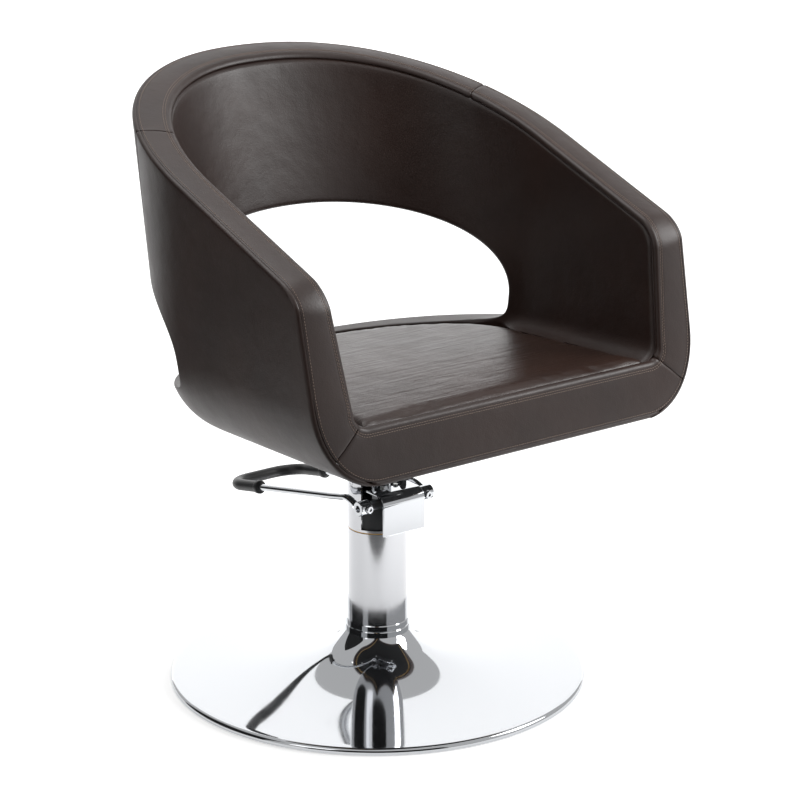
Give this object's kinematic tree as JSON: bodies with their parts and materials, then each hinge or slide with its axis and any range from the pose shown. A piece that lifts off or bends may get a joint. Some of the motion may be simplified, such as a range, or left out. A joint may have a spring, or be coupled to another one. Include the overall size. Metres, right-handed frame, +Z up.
{
  "type": "hydraulic styling chair",
  "caption": "Padded tub styling chair with a wrapped arm-and-back shell, an open lower back, a hydraulic pump column with a rear lever, and a round base.",
  "frame": {"origin": "on the floor, on the column's axis", "axes": "+Z up; the sitter faces -Y and the pump lever points to +Y; X across the arms"},
  "size_m": [0.666, 0.6271, 0.876],
  "materials": {
    "chrome": "polished",
    "steel": "machined",
    "zinc": "zinc plated",
    "black_steel": "satin black",
    "cast_iron": "painted black",
    "bronze": "machined",
    "rubber": "moulded",
    "leather": "semi-gloss PU leather",
    "foam": "open-cell foam",
    "plywood": "birch plywood",
    "lining_cloth": "non-woven black"
  },
  "bodies": {
    "base": {"base_gasket": "rubber", "base_plate": "black_steel", "base_cover": "chrome", "pump_flange": "cast_iron", "flange_bolts": "zinc", "cylinder_plug": "steel", "pump_cylinder": "steel", "cylinder_gland": "bronze", "lower_tube": "chrome", "column_collar": "chrome", "swivel_washer": "bronze"},
    "head": {"pump_head": "cast_iron", "head_sleeve": "chrome", "cover_plate": "chrome", "cover_screws": "zinc", "stop_lug": "black_steel", "shaft_bushes": "bronze"},
    "lever": {"pivot_shaft": "steel", "pump_cam": "steel", "lever_spring": "steel", "lever_hub_left": "chrome", "lever_hub_right": "chrome", "hub_screws": "zinc", "lever_bar": "chrome", "lever_grip": "rubber"},
    "plunger": {"pump_plunger": "steel"},
    "seat": {"ram": "chrome", "piston": "steel", "piston_seal": "rubber", "piston_nut": "steel", "seat_plate": "black_steel", "seat_bolts": "zinc", "insert_nuts": "zinc", "seat_board": "plywood", "underside_cover": "lining_cloth", "seat_foam": "foam", "seat_cover": "leather", "shell_frame": "plywood", "inner_lining": "leather", "outer_cover_left": "leather", "outer_cover_right": "leather", "outer_cover_back": "leather", "outer_cover_tail": "leather", "rim_border_left": "leather", "rim_border_right": "leather", "rim_border_back": "leather", "arm_front_left": "leather", "arm_front_right": "leather", "front_border": "leather"}
  },
  "joints": [
    {"name": "head_swivel", "type": "hinge", "parent": "base", "child": "head", "pos_m": [0, 0, 0.224], "axis": [0, 0, 1], "continuous": true},
    {"name": "seat_lift", "type": "slide", "parent": "head", "child": "seat", "axis": [0, 0, 1], "range_m": [0, 0.12]},
    {"name": "lever_pivot", "type": "hinge", "parent": "head", "child": "lever", "pos_m": [0, -0.039, 0.271], "axis": [-1, 0, 0], "range_deg": [0, 25], "stiffness_Nm_per_rad": 4, "springref_deg": -34.38},
    {"name": "plunger_slide", "type": "slide", "parent": "head", "child": "plunger", "axis": [0, 0, -1], "range_m": [0, 0.005]}
  ],
  "couplings": [
    {"joint": "plunger_slide", "follows": "lever_pivot", "m_per_rad": 0.011}
  ]
}
